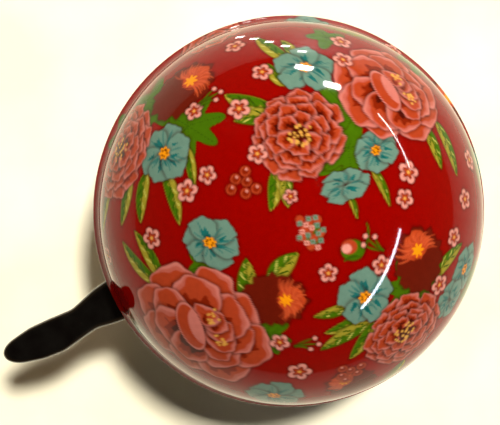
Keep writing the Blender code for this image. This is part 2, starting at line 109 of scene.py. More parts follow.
# Share of the reach, half width, sideways shift and thickness along the blade
LEVER_STATIONS = (
    (-0.27, 4.1, 0.0, 2.8), (0.0, 4.5, 0.0, 3.2), (0.13, 4.0, 0.0, 3.2), (0.23, 3.3, 0.1, 3.0),
    (0.35, 3.1, 0.7, 3.0), (0.55, 3.7, 0.9, 3.2), (0.72, 3.55, 0.6, 3.0), (0.88, 2.7, 0.3, 2.8),
    (1.0, 1.9, 0.0, 2.4),
)
LEVER_PEG = (2.2, -7.0)
HUB_HALF_HEIGHT = 1.7
# Where the sides of the arm leave the round hub, in degrees from the arm's own line
ARM_CORNER = 66.93

# Edges sharper than this, in degrees, are softened
EDGE_ANGLE = 35.0

# The return spring about the lever's pivot: wire and coil radius, its two heights, its turns and its legs
WIRE, COIL = 0.4, 4.9
SPRING_LOW, SPRING_HIGH = 39.5, 42.75
SPRING_TURNS = 3.25
FIXED_LEG = ((-10.5, 5.6), (-8.5, 5.6), (-4.25, 5.6))
LOOSE_LEG = ((4.1, -3.5), (3.7, -8.5))

FLOOR_Z = cad_box[0].z / MM
FLOOR_GAP = 0.05
FLOOR_REACH = 900.0

# The point that the lamps aim at
BELL_MIDDLE = Vector((0.0, 0.0, 45.0))

# ---- The print: where its own right-hand direction points on the dome, and how its paints are laid
PRINT_TURN = radians(63.0)
SOFT_EDGE = 0.34
SHADE_REACH = 0.9
LEAF_FULLNESS = 2.1

# ---- Light: the fill and the mirrored room, each near the horizon and overhead, and the backdrop
FILL_LOW = 0.1
FILL_HIGH = 0.0
ROOM_LOW = 0.35
ROOM_HIGH = 0.02
BACKDROP = 1.0
BACKDROP_TINT = (1.0, 0.93, 0.8)
FILL_TINT = (1.0, 0.62, 0.3)
# How far the strip lamps stand from the dome, unless one says otherwise
GLINT_DISTANCE = 600.0
# The glaze bends light less than glass does, which keeps the mirrored room's haze off the print
GLAZE_IOR = 1.24


def linear(code):
    """A colour such as "8b0000" as linear red, green and blue."""
    parts = np.array([int(code[i : i + 2], 16) / 255 for i in (0, 2, 4)])
    return np.where(parts <= 0.04045, parts / 12.92, ((parts + 0.055) / 1.055) ** 2.4)


GROUND = linear("7e0200")
SHADE = linear("2c0201")
LEAF = linear("3a5c04")
LEAF_DARK = linear("2a4404")
OLIVE = linear("8c8024")
LEAF_PALE = linear("a8a248")
PINK = linear("b8685e")
CORAL = linear("9c361a")
RUST = linear("741a04")
MAROON = linear("400802")
GOLD = linear("cc9440")
ORANGE = linear("dc860c")
MINT = linear("5c7a6c")
TEAL = linear("175c58")
TEAL_DARK = linear("0f4c48")
CUP = linear("5a1206")
FLORET = linear("b84a26")
ROSE = linear("cc8478")
EMBER = linear("a83a18")

PEONY_TONES = (PINK, CORAL, RUST, MAROON)
OLIVE_LEAF = (OLIVE, LEAF, LEAF_DARK)
BLUE_TONES = (MINT, MINT, TEAL, TEAL_DARK)


# ---- Mesh helpers


def add_piece(name, points, faces, body, materials):
    """A new piece from points in millimetres, riding on a body of the frame."""
    mesh = bpy.data.meshes.new(name)
    mesh.from_pydata((np.asarray(points) * MM).tolist(), [], faces)
    mesh.polygons.foreach_set("use_smooth", [True] * len(mesh.polygons))
    for material in materials:
        mesh.materials.append(material)
    mesh.update()
    piece = bpy.data.objects.new(name, mesh)
    bpy.context.scene.collection.objects.link(piece)
    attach(piece, body)
    return piece


def turned_mesh(profile, segments):
    """Points and faces of a closed (radius, height) loop turned about Z."""
    profile = np.array(profile, float)
    count = len(profile)
    angles = 2 * pi * np.arange(segments) / segments
    points = np.empty((segments, count, 3))
    points[..., 0] = profile[:, 0] * np.cos(angles)[:, None]
    points[..., 1] = profile[:, 0] * np.sin(angles)[:, None]
    points[..., 2] = profile[:, 1]
    faces = []
    for i in range(segments):
        here, there = i * count, (i + 1) % segments * count
        for j in range(count):
            k = (j + 1) % count
            faces.append((here + j, there + j, there + k, here + k))
    return points.reshape(-1, 3), faces


# ---- The printed dome


def dome_profile(inset):
    """Arc length, radius and height from the crown to the rim, inset from the outer skin."""
    angles = np.linspace(pi / 2, 0, 400)
    radius = list((BODY_RADIUS - inset) * np.cos(angles))
    height = list(SPRING_LINE + (BODY_RISE - inset) * np.sin(angles))
    for out, up in LIP_CURVE:
        radius.append(BODY_RADIUS - inset + out)
        height.append(DOME_RIM + up - (inset * 0.45 if up else 0.0))
    radius, height = np.array(radius), np.array(height)
    height = np.maximum(height, DOME_RIM)
    arc = np.concatenate([[0], np.cumsum(np.hypot(np.diff(radius), np.diff(height)))])
    return arc, radius, height


def ring_grid(rings):
    """Ring number and angle of each point of a square net wrapped into rings, and the net's quads."""
    i, j = np.meshgrid(np.arange(-rings, rings + 1), np.arange(-rings, rings + 1), indexing="ij")
    ring = np.maximum(abs(i), abs(j))
    step = np.where(i == -ring, 4 * ring - j, 6 * ring + i)
    step = np.where(j == ring, 2 * ring - i, step)
    step = np.where(i == ring, j, step)
    step = step % np.maximum(8 * ring, 1)
    number = 4 * ring * (ring - 1) + 1 + step
    number[rings, rings] = 0
    quads = np.stack([number[:-1, :-1], number[1:, :-1], number[1:, 1:], number[:-1, 1:]], axis=-1)
    rings_out = np.zeros(number.size, int)
    angles = np.zeros(number.size)
    rings_out[number.ravel()] = ring.ravel()
    angles[number.ravel()] = (2 * pi * step / np.maximum(8 * ring, 1)).ravel()
    return rings_out, angles, quads.reshape(-1, 4)


class Print:
    """The outer skin as points with its profile, and the colour that each point is printed in."""

    def __init__(self, points, profile):
        self.points = points
        self.profile = profile
        self.colour = np.tile(GROUND, (len(points), 1))

    def patch(self, x, y, turn, reach):
        """The points near a place, laid flat. The place is (x, y) from the crown, measured along the skin."""
        arc, radius, height = self.profile
        along, angle = hypot(x, y), atan2(y, x)
        at = np.interp(along, arc, radius), np.interp(along, arc, height)
        ahead = np.interp(along + 0.2, arc, radius), np.interp(along + 0.2, arc, height)
        slope = np.array([ahead[0] - at[0], ahead[1] - at[1]])
        slope /= np.hypot(*slope)
        world = angle + PRINT_TURN
        centre = np.array([at[0] * cos(world), at[0] * sin(world), at[1]])
        outward = np.array([slope[0] * cos(world), slope[0] * sin(world), slope[1]])
        sideways = np.array([-sin(world), cos(world), 0.0])
        offset = self.points - centre
        distance = np.linalg.norm(offset, axis=1)
        chosen = np.flatnonzero(distance < reach)
        offset, distance = offset[chosen], distance[chosen]
        out, side = offset @ outward, offset @ sideways
        stretch = distance / np.maximum(np.hypot(out, side), 1e-6)
        out, side = out * stretch, side * stretch
        local = angle - turn
        flat_x = out * cos(local) - side * sin(local)
        flat_y = out * sin(local) + side * cos(local)
        return Patch(self, chosen, flat_x, flat_y)


class Patch:
    """Part of the print laid flat, in millimetres about its middle."""

    def __init__(self, sheet, chosen, x, y):
        self.sheet, self.chosen, self.x, self.y = sheet, chosen, x, y

    def lay(self, distance, colour, shade=0.0):
        """Paints where distance is below nought. A shade is a soft dark edge just outside."""
        below = self.sheet.colour[self.chosen]
        if shade:
            dark = shade * np.clip(1 - distance / SHADE_REACH, 0, 1)[:, None] ** 2
            below = below + (SHADE - below) * dark
        cover = np.clip(0.5 - distance / SOFT_EDGE, 0, 1)[:, None]
        self.sheet.colour[self.chosen] = below + (colour - below) * cover

    def disc(self, x, y, radius, colour, shade=0.0):
        self.lay(np.hypot(self.x - x, self.y - y) - radius, colour, shade)

    def stroke(self, start, end, bend, width, colour, shade=0.0):
        """A tapered brush stroke, bowed to its left by bend."""
        span = np.subtract(end, start)
        length = np.hypot(*span)
        across = np.array([-span[1], span[0]]) / length
        along = ((self.x - start[0]) * span[0] + (self.y - start[1]) * span[1]) / length
        share = np.clip(along / length, 0, 1)
        bow = bend * 4 * share * (1 - share)
        off = (self.x - start[0]) * across[0] + (self.y - start[1]) * across[1] - bow
        beyond = along - share * length
        half = width / 2 * (0.35 + 0.65 * np.sin(pi * (0.15 + 0.8 * share)))
        self.lay(np.hypot(off, beyond) - half, colour, shade)

    def petal(self, angle, root, tip, half_width, tones, phase, ruffle=0.085, heart=0.58, flame=0.07):
        """One petal pointing along angle: a pale edge, a body, a ragged dark heart and a darker root."""
        edge_tone, body_tone, heart_tone, root_tone = tones
        u = self.x * cos(angle) + self.y * sin(angle)
        v = self.y * cos(angle) - self.x * sin(angle)
        middle = root + 0.6 * (tip - root)
        along = np.where(u > middle, (u - middle) / (tip - middle), (u - middle) / (middle - root))
        across = v / half_width
        turn = np.arctan2(across, along)
        front = np.clip(along + 0.5, 0, 1)
        waves = np.cos(5 * turn + phase) + 0.5 * np.cos(9 * turn + 2 * phase)
        distance = (np.hypot(along, across) - 1 - ruffle * waves * front) * min(half_width, tip - middle)
        depth = (u - root) / (tip - root)
        flames = np.sin(7 * across + phase) + 0.6 * np.sin(15 * across + 3 * phase)
        size = tip - root
        self.lay(distance, edge_tone, shade=0.75)
        band = 0.085 * half_width * (1.5 + np.sin(3 * turn + phase))
        self.lay(distance + 0.6 * band, 0.5 * edge_tone + 0.5 * body_tone)
        self.lay(distance + 1.3 * band, body_tone)
        bowl = depth - heart - flame * flames + 0.30 * across**2
        self.lay(np.maximum(distance + 2.2 * band, bowl * size), heart_tone)
        deep = bowl + 0.22
        self.lay(np.maximum(distance + 2.6 * band, deep * size), root_tone)


def peony(sheet, x, y, radius, turn, seed):
    """A full peony: rings of ruffled petals that shrink inward, and a heart of gold dots."""
    dice = random.Random(seed)
    patch = sheet.patch(x, y, turn, reach=radius * 1.35)
    lean = radians(dice.uniform(0, 360))
    rings = ((11, 1.0, 0.42, 0.28), (9, 0.84, 0.3, 0.27), (8, 0.67, 0.2, 0.23), (6, 0.48, 0.1, 0.2))
    for count, tip, root, width in rings:
        start = dice.uniform(0, 2 * pi)
        order = list(range(count))
        dice.shuffle(order)
        for k in order:
            angle = start + 2 * pi * k / count + dice.uniform(-0.12, 0.12)
            reach = radius * tip * (dice.uniform(0.93, 1.04) + 0.10 * cos(angle - lean) * (1 - tip))
            half = radius * width * dice.uniform(0.9, 1.12)
            phase = dice.uniform(0, 6.3)
            patch.petal(angle, radius * root, reach, half, PEONY_TONES, phase, heart=dice.uniform(0.62, 0.86))
    patch.disc(0.0, 0.0, radius * 0.17, MAROON)
    for k in range(26):
        far, angle = radius * 0.27 * (dice.random() ** 0.5), dice.uniform(0, 2 * pi)
        patch.disc(far * cos(angle), far * sin(angle), dice.uniform(0.2, 0.3), GOLD)


def open_peony(sheet, x, y, radius, turn, seed):
    """A peony seen from the side: broad outer petals, a folded one across the middle and two gold hearts."""
    dice = random.Random(seed)
    patch = sheet.patch(x, y, turn, reach=radius * 1.35)
    for count, tip, root, width in ((8, 1.0, 0.15, 0.40), (7, 0.78, 0.1, 0.34)):
        start = dice.uniform(0, 2 * pi)
        for k in range(count):
            angle = start + 2 * pi * k / count + dice.uniform(-0.15, 0.15)
            reach = radius * tip * dice.uniform(0.92, 1.06)
            half = radius * width * dice.uniform(0.85, 1.1)
            phase = dice.uniform(0, 6.3)
            patch.petal(angle, radius * root, reach, half, PEONY_TONES, phase, 0.05, dice.uniform(0.56, 0.84))
    for k in range(5):
        angle = -1.15 + 0.5 * k
        tip = radius * (0.62 - 0.05 * k)
        patch.petal(angle, radius * 0.12, tip, radius * 0.2, PEONY_TONES, 1.7 * k, 0.06, 0.5)
    for side in (-1, 1):
        for k in range(12):
            px = radius * (0.2 + 0.16 * dice.random())
            py = radius * side * (0.08 + 0.22 * dice.random())
            patch.disc(px, py, dice.uniform(0.2, 0.3), GOLD)
    across = np.hypot((patch.x + radius * 0.12) / 0.5, (patch.y - radius * 0.02)) - radius * 0.40
    inner = np.hypot((patch.x - radius * 0.02) / 0.5, (patch.y - radius * 0.02)) - radius * 0.34
    patch.lay(across, PINK, shade=0.8)
    patch.lay(np.maximum(across + 0.5, -inner - 0.6), CORAL)


def blue_flower(sheet, x, y, radius, turn, seed, squash=1.0, petals=6, centre=True):
    """A pale blue open flower with teal streaks. A squash below one sees it from the side."""
    dice = random.Random(seed)
    patch = sheet.patch(x, y, turn, reach=radius * 1.5)
    patch.y = patch.y / squash
    for k in range(petals):
        angle = 2 * pi * k / petals + dice.uniform(-0.1, 0.1)
        tip = radius * dice.uniform(0.9, 1.08)
        phase = dice.uniform(0, 6.3)
        heart = dice.uniform(0.28, 0.5)
        patch.petal(angle, radius * 0.06, tip, radius * 0.46, BLUE_TONES, phase, 0.08, heart, 0.2)
    for k in range(petals * 3):
        angle = dice.uniform(0, 2 * pi)
        near, far = radius * 0.3, radius * dice.uniform(0.5, 0.85)
        start, end = (near * cos(angle), near * sin(angle)), (far * cos(angle), far * sin(angle))
        patch.stroke(start, end, 0.1, 0.22, TEAL)
    if centre:
        wave = 1 + 0.14 * np.cos(7 * np.arctan2(patch.y, patch.x))
        patch.lay(np.hypot(patch.x, patch.y) - radius * 0.2 * wave, ORANGE, shade=0.6)
        for k in range(6):
            angle = k * 2.4
            patch.disc(0.11 * radius * cos(angle), 0.11 * radius * sin(angle), 0.2, MAROON)


def shaggy_flower(sheet, x, y, radius, turn, seed):
    """A dark shaggy flower turned aside: a ragged maroon cup, curling coral florets and a gold eye."""
    dice = random.Random(seed)
    patch = sheet.patch(x, y, turn, reach=radius * 1.9)
    angle = np.arctan2(patch.y, patch.x)
    ragged = 1 + 0.06 * np.cos(11 * angle + seed) + 0.04 * np.cos(19 * angle)
    patch.lay(np.hypot(patch.x / 1.2, patch.y) - radius * 0.98 * ragged, CUP, shade=0.8)
    eye = radius * 0.42
    patch.lay(np.hypot(patch.x - radius * 0.62, patch.y) - radius * 0.5 * ragged, EMBER)
    for k in range(34):
        way = radians(-110 + 220 * k / 33) + dice.uniform(-0.08, 0.08)
        near, far = radius * dice.uniform(0.22, 0.36), radius * dice.uniform(0.62, 0.92)
        start = (eye + near * cos(way), near * sin(way))
        end = (eye + far * cos(way) * 0.8, far * sin(way))
        tone = FLORET if k % 3 else CORAL
        patch.stroke(start, end, dice.uniform(0.2, 0.6), dice.uniform(0.24, 0.4), tone)
    wave = 1 + 0.3 * np.cos(7 * np.arctan2(patch.y, patch.x - eye))
    patch.lay(np.hypot(patch.x - eye, patch.y) - radius * 0.2 * wave, ORANGE)


def plum_blossom(sheet, x, y, radius, turn):
    """A small blossom of five round petals round a coral star."""
    patch = sheet.patch(x, y, turn, reach=radius * 2.0)
    for k in range(5):
        angle = 2 * pi * k / 5
        patch.disc(0.64 * radius * cos(angle), 0.64 * radius * sin(angle), radius * 0.38, ROSE, shade=0.7)
    star = 1 + 0.28 * np.cos(5 * np.arctan2(patch.y, patch.x))
    patch.lay(np.hypot(patch.x, patch.y) - radius * 0.52 * star, RUST)
    patch.lay(np.hypot(patch.x, patch.y) - radius * 0.34 * star, CORAL)
    patch.disc(0.0, 0.0, radius * 0.15, GOLD)


def leaf(sheet, start, end, width, bend, tones=(LEAF, OLIVE, LEAF_DARK)):
    """A pointed leaf from stalk to tip, one side paler, with brushed veins."""
    span = np.subtract(end, start)
    length = np.hypot(*span)
    middle = np.add(start, end) / 2
    patch = sheet.patch(*middle, turn=atan2(span[1], span[0]), reach=length * 0.75 + width)
    share = (patch.x + length / 2) / length
    inside = np.clip(share, 0, 1)
    off = patch.y - bend * 4 * inside * (1 - inside)
    half = width / 2 * LEAF_FULLNESS * inside**0.55 * (1 - inside) ** 0.8 + 0.02
    beyond = np.maximum(-share, share - 1) * length
    distance = np.maximum(np.abs(off) - half, beyond)
    whole, side, vein = tones
    patch.lay(distance, whole, shade=0.7)
    ragged = 0.06 * width * (np.sin(patch.x * 1.7) + np.sin(patch.x * 4.3))
    patch.lay(np.maximum(distance, off + ragged), side)
    patch.lay(np.maximum(distance + 0.3, np.abs(off) - 0.12), vein)
    slant = np.sin(2.4 * (patch.x - 1.6 * np.abs(off)))
    brushed = np.maximum(distance + 0.3, 0.75 - slant)
    patch.lay(np.maximum(brushed, off + 0.3), vein)
    patch.lay(np.maximum(brushed, 0.3 - off), LEAF_PALE)


def foliage(sheet, x, y, radius, turn, points=7):
    """A clump of leaves seen between the flowers: a ragged star of leaf points."""
    patch = sheet.patch(x, y, turn, reach=radius * 1.6)
    angle = np.arctan2(patch.y, patch.x)
    reach = radius * (0.82 + 0.22 * np.cos(points * angle) + 0.06 * np.cos(3 * angle + 1))
    distance = np.hypot(patch.x, patch.y) - reach
    patch.lay(distance, LEAF, shade=0.7)
    veins = np.abs(np.sin(0.5 * points * angle)) * np.hypot(patch.x, patch.y) - 0.16
    patch.lay(np.maximum(distance + 0.4, veins), LEAF_DARK)


def berries(sheet, x, y, turn):
    """A bunch of small coral berries, each with a pale glint."""
    patch = sheet.patch(x, y, turn, reach=6.5)
    for k in range(6):
        far, angle = 0.9 + 0.34 * k, 2.4 * k
        px, py = far * cos(angle), 1.25 * far * sin(angle)
        patch.disc(px, py, 0.95, CORAL, shade=0.6)
        patch.disc(px, py, 0.62, RUST)
        patch.disc(px + 0.3, py + 0.3, 0.22, ROSE)


def posy(sheet, x, y, turn):
    """A bunch of tiny mint and coral flowers on a scrap of leaf."""
    patch = sheet.patch(x, y, turn, reach=8.0)
    patch.disc(0.2, -0.8, 1.9, LEAF, shade=0.5)
    for k in range(9):
        angle = 2.4 * k
        patch.disc(0.85 * k**0.5 * cos(angle), 1.1 * k**0.5 * sin(angle), 0.75, CORAL, shade=0.35)
    for k in range(15):
        far, angle = 0.62 * (k + 1) ** 0.5, 2.4 * k + 0.9
        px, py = far * cos(angle) + 0.3, 1.35 * far * sin(angle) - 0.4
        tone = ROSE if k % 3 == 0 else MINT
        for part in range(4):
            way = pi * part / 2 + 0.4
            patch.disc(px + 0.3 * cos(way), py + 0.3 * sin(way), 0.24, tone)
        patch.disc(px, py, 0.14, LEAF if k % 3 else RUST)


def bud(sheet, x, y, turn):
    """A closed pink bud held by a green cup on a curled stalk."""
    patch = sheet.patch(x, y, turn, reach=8.0)
    patch.stroke((1.6, -0.4), (2.6, 4.8), -0.7, 0.4, LEAF, shade=0.6)
    patch.lay(np.hypot(patch.x / 1.15, patch.y) - 1.9, LEAF, shade=0.8)
    patch.lay(np.hypot((patch.x + 0.7) / 1.1, patch.y - 0.6) - 1.35, CORAL)
    patch.lay(np.hypot((patch.x + 1.2) / 1.1, patch.y - 0.3) - 0.85, ROSE)
    patch.stroke((-1.5, -1.9), (1.2, -1.2), 0.3, 0.5, LEAF_DARK)


def twig(sheet, x, y, turn):
    """A short forked stalk with three pale buds."""
    patch = sheet.patch(x, y, turn, reach=5.0)
    for end in ((1.0, 1.9), (2.3, 0.9), (1.4, -0.7)):
        patch.stroke((-1.6, -1.2), end, 0.25, 0.32, LEAF, shade=0.5)
        patch.disc(*end, 0.42, ROSE, shade=0.6)


def paint_leaves(sheet):
    """All the leaves, which the flowers then overlap. Most are placed as on the photographed bell."""
    clumps = (
        (8.0, 21.5, 7.4, 0.4), (7.0, 11.0, 5.4, 0.9), (8.2, 13.5, 6.0, 1.2), (-22.5, 18.5, 7.0, 0.2, 8),
        (-32.0, 25.5, 7.5, 0.9), (21.5, -13.5, 6.5, 0.3), (-6.5, -22.0, 4.4, 1.5),
        (-19.0, -8.0, 3.0, 0.0, 5), (6.5, 40.0, 4.0, 0.6, 5), (30.0, 38.0, 5.0, 0.1, 6),
        (-47.0, 22.0, 6.0, 0.1, 6), (43.0, -16.0, 5.0, 0.5, 6),
    )
    for clump in clumps:
        foliage(sheet, *clump)
    leaves = (
        ((-2.5, 32.0), (-9.0, 40.5), 3.2, 0.5, OLIVE_LEAF),
        ((-1.5, 33.0), (-3.5, 38.5), 2.4, -0.4),
        ((-6.0, 21.0), (-15.0, 24.7), 4.2, 0.6, OLIVE_LEAF),
        ((-5.0, 19.0), (-13.0, 19.0), 4.0, -0.6),
        ((-3.5, 26.0), (-6.5, 31.5), 2.6, 0.3, OLIVE_LEAF),
        ((-5.5, 9.0), (-6.2, 2.0), 3.0, 0.5, OLIVE_LEAF),
        ((-3.0, 8.5), (-3.0, 2.6), 2.6, -0.4),
        ((25.5, 19.0), (28.4, 10.5), 3.0, 0.3),
        ((29.5, 20.0), (33.0, 9.6), 3.0, 0.4),
        ((12.6, 10.0), (16.0, 3.0), 1.8, 0.3),
        ((8.0, 5.0), (9.6, 0.6), 1.2, 0.2),
        ((-43.0, 8.0), (-49.0, -4.0), 3.2, 0.4, OLIVE_LEAF),
        ((-36.0, 9.0), (-38.4, -1.0), 3.2, 0.4, OLIVE_LEAF),
        ((-31.5, 9.0), (-32.6, -0.4), 3.4, -0.3, OLIVE_LEAF),
        ((-27.0, 9.0), (-23.5, -0.6), 3.2, 0.5, OLIVE_LEAF),
        ((-22.5, 14.0), (-20.6, 6.0), 2.2, 0.3, OLIVE_LEAF),
        ((-29.0, -13.0), (-38.0, -6.0), 3.4, 0.6, OLIVE_LEAF),
        ((-28.0, -12.0), (-34.2, -3.2), 3.4, -0.5, OLIVE_LEAF),
        ((-9.5, -17.0), (-10.6, -6.8), 4.6, 0.3),
        ((-6.2, -11.5), (-1.2, -5.6), 4.2, 0.5),
        ((9.5, -15.5), (2.2, -18.0), 2.6, 0.3),
        ((13.0, -17.5), (4.6, -21.6), 3.2, 0.5, OLIVE_LEAF),
        ((13.0, -20.0), (4.2, -25.4), 3.4, -0.4),
        ((14.0, -20.0), (10.4, -28.2), 3.4, 0.3, OLIVE_LEAF),
        ((26.5, -12.0), (34.5, -5.8), 3.4, 0.5),
        ((24.0, -33.0), (20.5, -46.0), 3.4, 0.4, OLIVE_LEAF),
        ((20.0, 44.0), (8.0, 46.0), 3.4, 0.4),
        ((45.0, 8.0), (43.0, 22.0), 3.2, 0.4),
        ((-16.0, 44.0), (-27.0, 42.0), 3.4, 0.5, OLIVE_LEAF),
    )
    for start, end, width, bend, *tones in leaves:
        leaf(sheet, start, end, width, bend, *tones)


def paint_flowers(sheet):
    """The large flowers, each later one over the earlier. Most are placed as on the photographed bell."""
    blue_flower(sheet, 0.8, 30.5, 5.6, 0.3, 11, petals=5)
    blue_flower(sheet, -27.3, 13.2, 5.6, 1.4, 12)
    blue_flower(sheet, 13.6, 13.2, 4.7, 0.8, 13, squash=0.85)
    blue_flower(sheet, 7.4, 6.6, 4.8, 0.35, 14, squash=0.62, centre=False)
    blue_flower(sheet, -17.4, -4.0, 5.8, 2.9, 15, squash=0.8)
    blue_flower(sheet, 11.7, -14.4, 5.6, 0.5, 16, petals=5)
    blue_flower(sheet, 37.0, -11.5, 5.0, 1.1, 17, squash=0.8)
    blue_flower(sheet, 33.5, -18.0, 4.2, 2.0, 18, centre=False)
    blue_flower(sheet, -5.0, -40.5, 5.6, 0.2, 19)
    blue_flower(sheet, 4.0, 53.0, 5.4, 0.4, 20)
    blue_flower(sheet, 52.0, 14.0, 5.2, 0.4, 21)
    blue_flower(sheet, -40.0, -32.0, 5.2, 0.4, 22)
    shaggy = (
        (-25.2, 27.4, 5.9, 0.75, 31),
        (-5.4, -14.6, 5.0, 0.0, 32),
        (23.0, -8.0, 5.4, 1.9, 33),
        (12.0, -36.5, 4.4, 2.6, 34),
        (46.0, 32.0, 5.0, 1.0, 35),
    )
    for place in shaggy:
        shaggy_flower(sheet, *place)
    peonies = (
        (peony, -41.0, 15.5, 9.8, 0.6, 45),
        (peony, 21.8, -23.4, 8.6, 1.0, 44),
        (peony, 38.0, -41.0, 8.0, 1.0, 46),
        (open_peony, 18.8, 26.4, 11.8, 0.35, 42),
        (open_peony, -20.5, -22.0, 13.6, 0.2, 43),
        (peony, -0.8, 16.2, 8.9, 0.2, 41),
        (peony, -22.0, 48.0, 8.0, 0.2, 47),
    )
    for paint, *place in peonies:
        paint(sheet, *place)


def paint_small_things(sheet):
    """Blossoms, berries and buds in the gaps. Most are placed as on the photographed bell."""
    blossoms = (
        (-7.8, 29.5, 1.9), (-12.2, 21.4, 2.1), (-21.4, 21.6, 1.8), (-22.0, 5.6, 2.1), (-18.0, 8.6, 1.7),
        (-29.8, -3.8, 2.0), (4.4, -9.4, 1.7), (20.2, 9.2, 2.1), (19.2, 4.2, 1.8), (35.5, 4.0, 1.9),
        (39.5, 13.0, 2.0), (31.8, -3.8, 1.8), (28.8, -13.6, 2.0), (14.6, -8.2, 1.8), (0.0, -31.2, 2.3),
        (-4.2, -23.6, 1.8), (9.0, 33.0, 1.9), (9.6, 39.0, 2.0), (-8.6, 12.4, 1.8), (-2.6, 4.6, 1.3),
        (46.0, -4.0, 1.9), (-14.0, 38.0, 1.9), (-46.0, -10.0, 2.0), (8.0, -47.0, 2.1), (-20.0, -46.0, 2.0),
        (30.0, 48.0, 2.0), (52.0, -10.0, 2.0), (-10.0, 50.0, 2.0), (24.0, -50.0, 2.0), (-52.0, -4.0, 2.0),
    )
    for number, (x, y, radius) in enumerate(blossoms):
        plum_blossom(sheet, x, y, radius, 0.9 * number)
    berries(sheet, -11.4, 7.0, 0.3)
    berries(sheet, 10.6, -32.6, 1.3)
    posy(sheet, 0.8, -1.6, 0.5)
    bud(sheet, 8.9, -5.2, 0.0)
    twig(sheet, -18.4, 24.2, 0.1)
    twig(sheet, 13.0, -4.4, 2.0)
    twig(sheet, 0.8, -24.0, -0.4)


def make_dome(enamel, inner_metal):
    """The upper dome: a dense printed outer skin and a plainer inner one, closed round the rim."""
    outer = dome_profile(0.0)
    rings, angles, quads = ring_grid(DOME_RINGS)
    arc = outer[0][-1] * rings / DOME_RINGS
    radius, height = np.interp(arc, outer[0], outer[1]), np.interp(arc, outer[0], outer[2])
    skin = np.stack([radius * np.cos(angles), radius * np.sin(angles), height], axis=1)

    inner = dome_profile(SHEET)
    steps = np.linspace(inner[0][-1], 0, LINING_RINGS)[:-1]
    turns = 2 * pi * np.arange(INNER_SEGMENTS) / INNER_SEGMENTS
    inner_radius = np.interp(steps, inner[0], inner[1])[:, None]
    inner_height = np.interp(steps, inner[0], inner[2])[:, None] + 0 * turns
    lining = np.stack([inner_radius * np.cos(turns), inner_radius * np.sin(turns), inner_height], axis=-1)
    top = [[0.0, 0.0, inner[2][0]]]
    points = np.concatenate([skin, lining.reshape(-1, 3), top])

    first = len(skin)
    last_ring = first - 8 * DOME_RINGS
    crown = len(points) - 1
    faces = quads.tolist()
    outer_faces = len(faces)
    for k in range(INNER_SEGMENTS):
        after = (k + 1) % INNER_SEGMENTS
        rim = [last_ring + (8 * k + step) % (8 * DOME_RINGS) for step in range(9)]
        faces.append(tuple(rim[::-1] + [first + k, first + after]))
    for row in range(len(steps) - 1):
        here, there = first + row * INNER_SEGMENTS, first + (row + 1) * INNER_SEGMENTS
        for k in range(INNER_SEGMENTS):
            after = (k + 1) % INNER_SEGMENTS
            faces.append((here + after, here + k, there + k, there + after))
    here = first + (len(steps) - 1) * INNER_SEGMENTS
    for k in range(INNER_SEGMENTS):
        faces.append((here + (k + 1) % INNER_SEGMENTS, here + k, crown))

    dome = add_piece("printed_dome", points, faces, "bell_body", (enamel, inner_metal))
    lined = [0] * (outer_faces + INNER_SEGMENTS) + [1] * (len(faces) - outer_faces - INNER_SEGMENTS)
    dome.data.polygons.foreach_set("material_index", lined)
    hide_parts("upper_dome")

    sheet = Print(skin, outer)
    paint_leaves(sheet)
    paint_flowers(sheet)
    paint_small_things(sheet)
    colours = np.ones((len(points), 4))
    colours[: len(skin), :3] = sheet.colour
    colours[len(skin) :, :3] = GROUND
    layer = dome.data.color_attributes.new("print", "FLOAT_COLOR", "POINT")
    layer.data.foreach_set("color", colours.ravel())


# ---- The lower shell


def make_lower_shell(chrome):
    """The chromed lower shell: a turned cup with a rolled rim and a screw hole."""
    low, rim = SHELL_LOW.z, SHELL_HIGH.z
    reach, rise = SHELL_HIGH.x - SHELL_FLAT, rim - low

    def side(inset):
        angles = np.linspace(pi / 2, radians(4), 40)
        return [(SHELL_FLAT + (reach - inset) * sin(a), rim - (rise - inset) * cos(a)) for a in angles]

    outer, inner = side(0.0), side(SHEET)
    outer[0] = (outer[0][0] - 0.15, outer[0][1])
    outer.insert(1, (SHELL_HIGH.x, rim - 0.2))
    foot = [
        (SHELL_FLAT - 1.6, low),
        (SHELL_HOLE + 0.2, low),
        (SHELL_HOLE, low + 0.2),
        (SHELL_HOLE, low + SHEET),
        (SHELL_FLAT - 1.6, low + SHEET),
    ]
    points, faces = turned_mesh((outer + foot + inner[::-1])[::-1], 144)
    shell = add_piece("chrome_shell", points, faces, "bell_body", (chrome,))
    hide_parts("lower_shell")


# ---- The thumb lever


def smooth_stations(shares):
    """The lever's stations eased into smooth curves: half width, shift and thickness at each share."""
    stations = np.array(LEVER_STATIONS)
    fine = np.linspace(-0.6, 1.3, 381)
    bell = np.exp(-0.5 * (np.linspace(-3, 3, 31)) ** 2)
    eased = []
    for column in (1, 2, 3):
        track = np.interp(fine, stations[:, 0], stations[:, column])
        track = np.convolve(track, bell / bell.sum(), mode="same")
        eased.append(np.interp(shares, fine, track))
    return np.stack(eased, axis=1)


